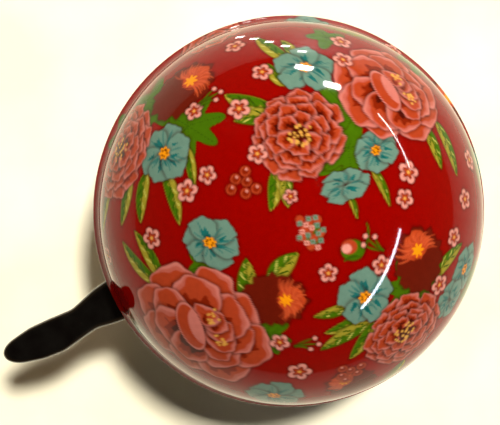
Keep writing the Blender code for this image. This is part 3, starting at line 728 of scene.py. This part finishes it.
def make_lever_blade(plastic):
    """The blade: rounded sections lofted out from the pivot, with a dished thumb pad."""
    shares = np.concatenate([np.linspace(-0.27, 0.9, 80), 0.9 + 0.1 * np.sin(np.linspace(0.12, pi / 2, 16))])
    around = 2 * pi * np.arange(40) / 40
    points = []
    for share, (half, shift, thick) in zip(shares, smooth_stations(shares)):
        tip = max(0.0, (share - 0.86) / 0.14)
        half, thick = half * (1 - 0.97 * tip**3) ** 0.5, thick * (1 - 0.97 * tip**4) ** 0.5
        dish = 0.7 * np.exp(-(((share - 0.66) / 0.2) ** 4))
        for a in around:
            across = half * np.sign(cos(a)) * abs(cos(a)) ** 0.75
            up = thick / 2 * np.sign(sin(a)) * abs(sin(a)) ** 0.75
            if up > 0:
                up -= dish * max(0.0, 1 - (across / (0.8 * half)) ** 2)
            out = LEVER_ROOT + share * LEVER_REACH
            points.append((PIVOT.x + shift + across, PIVOT.y - out, PIVOT.z + up))
    count = len(around)
    faces = []
    for i in range(len(shares) - 1):
        for k in range(count):
            after = (k + 1) % count
            faces.append((i * count + k, i * count + after, (i + 1) * count + after, (i + 1) * count + k))
    faces.append(tuple(range(count))[::-1])
    faces.append(tuple((len(shares) - 1) * count + k for k in range(count)))
    return add_piece("lever_blade", points, faces, "lever", (plastic,))


def hub_outline():
    """The flat of the lever about its pivot: a toothed sector, a round hub and the start of the arm."""
    hub, half_width, arm_end, module, teeth = 5.0, 4.6, -14.0, 1.5, 16
    radius, pitch, middle = 12.0, 360.0 / teeth, 45.0
    levels = ((radius - 1.1 * module, 0.30), (radius, 0.20), (radius + 0.75 * module, 0.11))
    outline = []
    for number in range(-2, 2):
        centre = middle + number * pitch
        for side, order in ((-1.0, levels), (1.0, levels[::-1])):
            for r, share in order:
                angle = radians(centre + side * share * pitch)
                outline.append((r * cos(angle), r * sin(angle)))
    start = radians(-90.0 + ARM_CORNER)
    end = radians(270.0 - ARM_CORNER)
    first = atan2(outline[0][1], outline[0][0])
    last = atan2(outline[-1][1], outline[-1][0])
    before = [(hub * cos(a), hub * sin(a)) for a in np.linspace(start, first, 6)]
    after = [(hub * cos(a), hub * sin(a)) for a in np.linspace(last, end, 16)]
    return before + outline + after + [(-half_width, arm_end), (half_width, arm_end)]


def round_edges(piece, width, segments=3):
    """Softens a piece's hard edges, as moulding or tumbling does."""
    bevel = piece.modifiers.new("round_edges", "BEVEL")
    bevel.width = width * MM
    bevel.segments = segments
    bevel.limit_method = "ANGLE"
    bevel.angle_limit = radians(EDGE_ANGLE)
    bevel.use_clamp_overlap = True
    normals = piece.modifiers.new("flat_faces", "WEIGHTED_NORMAL")
    normals.keep_sharp = False


def lever_turning(name, profile, segments, x, y, plastic):
    """A turned piece of the lever, with its axis at (x, y)."""
    points, faces = turned_mesh(profile, segments)
    return add_piece(name, points + np.array([x, y, 0]), faces, "lever", (plastic,))


def make_lever(plastic):
    """The thumb lever: blade, toothed hub, barrel and spring peg."""
    blade = make_lever_blade(plastic)
    outline = hub_outline()
    count = len(outline)
    low, high = PIVOT.z - HUB_HALF_HEIGHT, PIVOT.z + HUB_HALF_HEIGHT
    points = [(PIVOT.x + x, PIVOT.y + y, z) for z in (low, high) for x, y in outline]
    faces = [tuple(range(count))[::-1], tuple(range(count, 2 * count))]
    faces += [(k, (k + 1) % count, count + (k + 1) % count, count + k) for k in range(count)]
    hub = add_piece("lever_hub", points, faces, "lever", (plastic,))
    round_edges(hub, 0.25)
    low, top = low + 1, LEVER_TOP
    profile = [(1.8, low), (4.0, low), (4.0, top - 0.3), (3.7, top), (2.1, top), (1.8, top - 0.3)]
    barrel = lever_turning("lever_barrel", profile, 48, PIVOT.x, PIVOT.y, plastic)
    profile = [(0.0001, low), (0.8, low), (0.8, top - 0.2), (0.6, top), (0.0001, top)]
    peg = lever_turning("lever_peg", profile, 24, LEVER_PEG[0], PIVOT.y + LEVER_PEG[1], plastic)
    for part in (barrel, peg):
        round_edges(part, 0.15, 2)
    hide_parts("thumb_lever")


# ---- The return spring


def make_return_spring(steel):
    """The torsion spring: a wire wound about the lever's pivot, with its fixed leg low down and its loose leg
    high up.
    """
    climb = SPRING_HIGH - SPRING_LOW
    path = [(x, y, SPRING_LOW) for x, y in FIXED_LEG]
    for turn in np.linspace(0, SPRING_TURNS, 105):
        angle = pi / 2 - 2 * pi * turn
        path.append((COIL * cos(angle), COIL * sin(angle), SPRING_LOW + climb * turn / SPRING_TURNS))
    path += [(x, y, SPRING_HIGH) for x, y in LOOSE_LEG]
    path = np.array(path) + np.array([PIVOT.x, PIVOT.y, 0.0])
    around = 2 * pi * np.arange(12) / 12
    points = []
    for k in range(len(path)):
        run = Vector(path[min(k + 1, len(path) - 1)] - path[max(k - 1, 0)]).normalized()
        side = run.cross(Vector((0.0, 0.0, 1.0))).normalized()
        rise = side.cross(run)
        points += [Vector(path[k]) + WIRE * (side * cos(a) + rise * sin(a)) for a in around]
    count = len(around)
    faces = [tuple(range(count)), tuple(range((len(path) - 1) * count, len(path) * count))[::-1]]
    for i in range(len(path) - 1):
        for k in range(count):
            after = (k + 1) % count
            faces.append((i * count + after, i * count + k, (i + 1) * count + k, (i + 1) * count + after))
    mesh = bpy.data.meshes.new("wound_spring")
    mesh.from_pydata((np.array(points) * MM).tolist(), [], faces)
    mesh.polygons.foreach_set("use_smooth", [True] * len(mesh.polygons))
    mesh.materials.append(steel)
    spring = bpy.data.objects.new("wound_spring", mesh)
    bpy.context.scene.collection.objects.link(spring)
    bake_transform(spring)
    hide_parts("return_spring")


# ---- Materials


def new_material(name, colour, roughness, metallic=0.0, coat=0.0):
    """A plain material and its shader, for the caller to add grain to."""
    material = bpy.data.materials.new(name)
    material.use_nodes = True
    shader = material.node_tree.nodes["Principled BSDF"]
    shader.inputs["Base Color"].default_value = (*colour, 1.0)
    shader.inputs["Roughness"].default_value = roughness
    shader.inputs["Metallic"].default_value = metallic
    shader.inputs["Coat Weight"].default_value = coat
    shader.inputs["Coat Roughness"].default_value = 0.03
    return material, shader


def add_noise(material, scale, stretch=(1.0, 1.0, 1.0), detail=4.0):
    """Noise in the object's own metres."""
    nodes, links = material.node_tree.nodes, material.node_tree.links
    place = nodes.new("ShaderNodeTexCoord")
    mapping = nodes.new("ShaderNodeMapping")
    mapping.inputs["Scale"].default_value = stretch
    noise = nodes.new("ShaderNodeTexNoise")
    noise.inputs["Scale"].default_value = scale
    noise.inputs["Detail"].default_value = detail
    links.new(place.outputs["Object"], mapping.inputs["Vector"])
    links.new(mapping.outputs["Vector"], noise.inputs["Vector"])
    return noise.outputs["Fac"]


def vary_colour(material, fac, dark, light):
    """Base colour between two tones, by noise."""
    nodes, links = material.node_tree.nodes, material.node_tree.links
    ramp = nodes.new("ShaderNodeValToRGB")
    ramp.color_ramp.elements[0].position, ramp.color_ramp.elements[1].position = 0.32, 0.68
    ramp.color_ramp.elements[0].color = (*dark, 1.0)
    ramp.color_ramp.elements[1].color = (*light, 1.0)
    links.new(fac, ramp.inputs["Fac"])
    links.new(ramp.outputs["Color"], nodes["Principled BSDF"].inputs["Base Color"])


def vary_roughness(material, fac, smooth, rough):
    """Roughness between two values, by noise."""
    nodes, links = material.node_tree.nodes, material.node_tree.links
    spread = nodes.new("ShaderNodeMapRange")
    spread.inputs["From Min"].default_value, spread.inputs["From Max"].default_value = 0.3, 0.7
    spread.inputs["To Min"].default_value, spread.inputs["To Max"].default_value = smooth, rough
    links.new(fac, spread.inputs["Value"])
    links.new(spread.outputs["Result"], nodes["Principled BSDF"].inputs["Roughness"])


def add_bump(material, fac, height):
    """A fine relief of so many millimetres, by noise."""
    nodes, links = material.node_tree.nodes, material.node_tree.links
    bump = nodes.new("ShaderNodeBump")
    bump.inputs["Distance"].default_value = height * MM
    bump.inputs["Strength"].default_value = 1.0
    links.new(fac, bump.inputs["Height"])
    links.new(bump.outputs["Normal"], nodes["Principled BSDF"].inputs["Normal"])


def grained(name, dark, light, roughness, metallic, scale, bump, stretch=(1, 1, 1), coat=0.0):
    """A material whose colour, roughness and surface all follow one grain, between two colour codes."""
    dark, light = linear(dark), linear(light)
    material = new_material(name, light, roughness, metallic, coat)[0]
    fac = add_noise(material, scale, stretch)
    vary_colour(material, fac, dark, light)
    vary_roughness(material, fac, roughness * 0.8, roughness * 1.25)
    add_bump(material, fac, bump)
    return material


def make_enamel():
    """Printed enamel: the printed paints under a hard clear glaze with a faint orange peel."""
    material, shader = new_material("printed_enamel_gloss", GROUND, 0.05)
    shader.inputs["IOR"].default_value = GLAZE_IOR
    nodes, links = material.node_tree.nodes, material.node_tree.links
    paint = nodes.new("ShaderNodeAttribute")
    paint.attribute_name = "print"
    grain = add_noise(material, 900.0, detail=6.0)
    tone = nodes.new("ShaderNodeMapRange")
    tone.inputs["From Min"].default_value, tone.inputs["From Max"].default_value = 0.3, 0.7
    tone.inputs["To Min"].default_value, tone.inputs["To Max"].default_value = 0.73, 0.82
    mix = nodes.new("ShaderNodeMix")
    mix.data_type, mix.blend_type = "RGBA", "MULTIPLY"
    mix.inputs["Factor"].default_value = 1.0
    links.new(grain, tone.inputs["Value"])
    links.new(paint.outputs["Color"], mix.inputs["A"])
    links.new(tone.outputs["Result"], mix.inputs["B"])
    links.new(mix.outputs["Result"], shader.inputs["Base Color"])
    peel = add_noise(material, 160.0, detail=1.0)
    add_bump(material, peel, 0.004)
    return material


def make_materials():
    """Every finish, by the name that the model's parts give it."""
    return {
        "printed_enamel": make_enamel(),
        "dome_lining": grained("dome_lining_nickel", "8f8a80", "aaa498", 0.3, 1.0, 300.0, 0.004),
        "chrome": grained("chrome_bright", "c9c8c4", "dcdbd6", 0.07, 1.0, 120.0, 0.0015),
        "zinc_steel": grained("zinc_plated_steel", "a09e97", "c6c4bc", 0.28, 1.0, 500.0, 0.004),
        "spring_steel": grained("spring_steel_wire", "77756f", "9c9a94", 0.25, 1.0, 500.0, 0.006, (1, 1, 12)),
        "black_plastic": grained(
            "black_plastic_gloss", "040303", "090807", 0.13, 0.0, 260.0, 0.003, coat=0.5
        ),
        "carrier_plastic": grained("carrier_plastic_satin", "1d1d1c", "2a2a28", 0.45, 0.0, 900.0, 0.02),
        "brass": grained("brass_turned", "a87f38", "cda455", 0.26, 1.0, 400.0, 0.008, (1, 1, 8)),
        "black_rubber": grained("black_rubber", "121212", "232322", 0.7, 0.0, 1500.0, 0.04),
    }


def dress_cad_nodes(materials):
    """Gives each part kept from the model its finish and softened edges."""
    for node in frame["nodes"].values():
        if node.hide_render:
            continue
        finish = node.data.materials[0].name.split(".")[0]
        node.data.materials[0] = materials[finish]
        weld = node.modifiers.new("join_faces", "WELD")
        weld.merge_threshold = 0.005 * MM
        round_edges(node, 0.2, 2)


# ---- Stage, lights and camera


def make_floor():
    """A plain round cream table top under the bell."""
    mesh = bpy.data.meshes.new("floor")
    reach, z = FLOOR_REACH * MM, (FLOOR_Z - FLOOR_GAP) * MM
    turns = 2 * pi * np.arange(96) / 96
    mesh.from_pydata([(reach * cos(a), reach * sin(a), z) for a in turns], [], [tuple(range(96))])
    floor = bpy.data.objects.new("floor", mesh)
    bpy.context.scene.collection.objects.link(floor)
    mesh.materials.append(grained("table_cream", "f2ead0", "faf4de", 0.6, 0.0, 30.0, 0.05))
    floor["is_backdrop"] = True
    return floor


def make_world():
    """Pale surroundings: warm light from low down, hardly any from overhead, and a plain backdrop."""
    world = bpy.data.worlds.new("studio")
    bpy.context.scene.world = world
    world.use_nodes = True
    nodes, links = world.node_tree.nodes, world.node_tree.links
    background = nodes["Background"]
    path = nodes.new("ShaderNodeLightPath")
    place = nodes.new("ShaderNodeTexCoord")
    split = nodes.new("ShaderNodeSeparateXYZ")
    links.new(place.outputs["Generated"], split.inputs["Vector"])

    def fade(low, high):
        span = nodes.new("ShaderNodeMapRange")
        span.inputs["From Max"].default_value = 0.75
        span.inputs["To Min"].default_value, span.inputs["To Max"].default_value = low, high
        links.new(split.outputs["Z"], span.inputs["Value"])
        return span.outputs["Result"]

    mirrored = nodes.new("ShaderNodeMix")
    links.new(path.outputs["Is Glossy Ray"], mirrored.inputs["Factor"])
    links.new(fade(FILL_LOW, FILL_HIGH), mirrored.inputs["A"])
    links.new(fade(ROOM_LOW, ROOM_HIGH), mirrored.inputs["B"])
    seen = nodes.new("ShaderNodeMix")
    seen.inputs["B"].default_value = BACKDROP
    links.new(path.outputs["Is Camera Ray"], seen.inputs["Factor"])
    links.new(mirrored.outputs["Result"], seen.inputs["A"])
    links.new(seen.outputs["Result"], background.inputs["Strength"])
    tint = nodes.new("ShaderNodeMix")
    tint.data_type = "RGBA"
    tint.inputs["A"].default_value = (*FILL_TINT, 1.0)
    tint.inputs["B"].default_value = (*BACKDROP_TINT, 1.0)
    links.new(path.outputs["Is Camera Ray"], tint.inputs["Factor"])
    links.new(tint.outputs["Result"], background.inputs["Color"])


def set_up_camera():
    """A long lens nearly over the crown, turned so that the lever lies to the lower left."""
    tilt, heading, side_step, distance = radians(4.0), radians(198.0), 8.16, 283.4
    back = Vector((cos(heading) * sin(tilt), sin(heading) * sin(tilt), cos(tilt)))
    right = Vector((cos(PRINT_TURN), sin(PRINT_TURN), 0.0))
    right = (right - back * right.dot(back)).normalized()
    up = back.cross(right)
    place = Vector((0.0, 0.0, DOME_RIM)) - right * side_step + back * distance
    data = bpy.data.cameras.new("Camera")
    data.lens = 100.0
    data.sensor_width = 36.0
    data.clip_start, data.clip_end = 0.01, 10.0
    camera = bpy.data.objects.new("Camera", data)
    bpy.context.scene.collection.objects.link(camera)
    camera.matrix_world = Matrix.Translation(place * MM) @ Matrix((right, up, back)).transposed().to_4x4()
    bpy.context.scene.camera = camera
    return place


def picture_direction(angle, height):
    """A direction from the bell: an angle in the picture, turned up from the table by height, in degrees."""
    heading, height = radians(angle) + PRINT_TURN, radians(height)
    return Vector((cos(heading) * cos(height), sin(heading) * cos(height), sin(height)))


def add_lamp(name, place, aim, width, height, power, colour, seen=False, only=None):
    """An area lamp. One that isn't seen leaves no reflection of itself, and "only" is all that it lights."""
    data = bpy.data.lights.new(name, "AREA")
    data.shape = "RECTANGLE"
    data.size, data.size_y = width * MM, height * MM
    data.energy = power
    data.color = colour
    lamp = bpy.data.objects.new(name, data)
    bpy.context.scene.collection.objects.link(lamp)
    lamp.location = place * MM
    lamp.rotation_mode = "QUATERNION"
    lamp.rotation_quaternion = (aim - place).to_track_quat("-Z", "Y")
    lamp.visible_glossy = seen
    lamp.visible_camera = False
    if only:
        lamp.light_linking.receiver_collection = only
    return lamp


def mirror_place(x, y, camera_place, distance):
    """Where a lamp stands for its reflection to show at (x, y) on the dome, as the camera sees it."""
    arc, radius, height = dome_profile(0.0)
    along, world = hypot(x, y), atan2(y, x) + PRINT_TURN
    r, z = np.interp(along, arc, radius), np.interp(along, arc, height)
    r2, z2 = np.interp(along + 0.5, arc, radius), np.interp(along + 0.5, arc, height)
    slope = Vector((r2 - r, z2 - z)).normalized()
    normal = Vector((-slope.y * cos(world), -slope.y * sin(world), slope.x))
    point = Vector((r * cos(world), r * sin(world), z))
    back = (camera_place - point).normalized()
    away = 2 * normal.dot(back) * normal - back
    return point, point + away * distance


def add_streak(name, start, end, width, radiance, colour, camera_place, distance=GLINT_DISTANCE):
    """A strip lamp whose reflection runs from one place on the dome to another. It lights nothing else."""
    point_a, place_a = mirror_place(*start, camera_place, distance)
    point_b, place_b = mirror_place(*end, camera_place, distance)
    middle, aim = (place_a + place_b) / 2, (point_a + point_b) / 2
    length = (place_a - place_b).length
    power = radiance * pi * length * width * MM * MM
    lamp = add_lamp(name, middle, aim, width, length, power, colour, seen=True)
    back = (middle - aim).normalized()
    run = (place_b - place_a).normalized()
    across = run.cross(back).normalized()
    run = back.cross(across)
    lamp.visible_diffuse = False
    lamp.rotation_quaternion = Matrix((across, run, back)).transposed().to_quaternion()


def only_these(name, pieces):
    """A collection for lamps that light these pieces alone."""
    group = bpy.data.collections.new(name)
    for piece in pieces:
        group.objects.link(piece)
    return group


def make_lights(camera_place, floor):
    """Broad lamps that light the bell or the table, and strips that show only as glints on the glaze."""
    warm, white, cool, amber = (1.0, 0.97, 0.88), (1.0, 0.98, 0.93), (0.75, 0.82, 1.0), (1.0, 0.66, 0.32)
    middle = BELL_MIDDLE
    bell, table = only_these("bell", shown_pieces()), only_these("table", [floor])
    add_lamp("key", middle + 1600 * picture_direction(52, 71), middle, 130, 130, 40.0, warm, only=bell)
    add_lamp("table_key", middle + 1600 * picture_direction(72, 74), middle, 130, 130, 40.0, warm, only=table)
    add_lamp("second", middle + 1600 * picture_direction(100, 62), middle, 300, 300, 2.0, amber)
    add_lamp("top", middle + 700 * picture_direction(115, 35), middle, 300, 200, 3.0, warm, only=bell)
    add_lamp("right", middle + 700 * picture_direction(20, 22), middle, 300, 200, 1.8, warm, only=bell)
    add_lamp("low", middle + 700 * picture_direction(285, 22), middle, 300, 200, 1.2, warm, only=bell)
    for number in range(5):
        x, y = -14.0 + 3.4 * number, 41.5 - 1.7 * number
        near, far = (x, y), (x + 1.8, y - 0.2)
        add_streak(f"dash_{number}", near, far, 2.0 + 0.5 * number, 70.0, white, camera_place, distance=90.0)
    add_streak("pane_near", (-1.0, 30.4), (2.2, 29.8), 34.0, 700.0, white, camera_place)
    add_streak("pane_far", (4.4, 26.4), (7.4, 25.6), 34.0, 700.0, white, camera_place)
    add_streak("edge_high", (14.5, 20.5), (20.5, 9.5), 5.0, 170.0, warm, camera_place)
    add_streak("edge_low", (18.0, -1.5), (11.0, -16.5), 15.0, 110.0, cool, camera_place)


def main():
    """Builds the pieces first, since the lamps are told which pieces they light."""
    materials = make_materials()
    make_dome(materials["printed_enamel"], materials["dome_lining"])
    make_lower_shell(materials["chrome"])
    make_lever(materials["black_plastic"])
    make_return_spring(materials["spring_steel"])
    dress_cad_nodes(materials)
    floor = make_floor()
    make_world()
    make_lights(set_up_camera(), floor)
    bpy.context.scene.view_settings.view_transform = "Standard"


main()

bpy.context.view_layer.update()
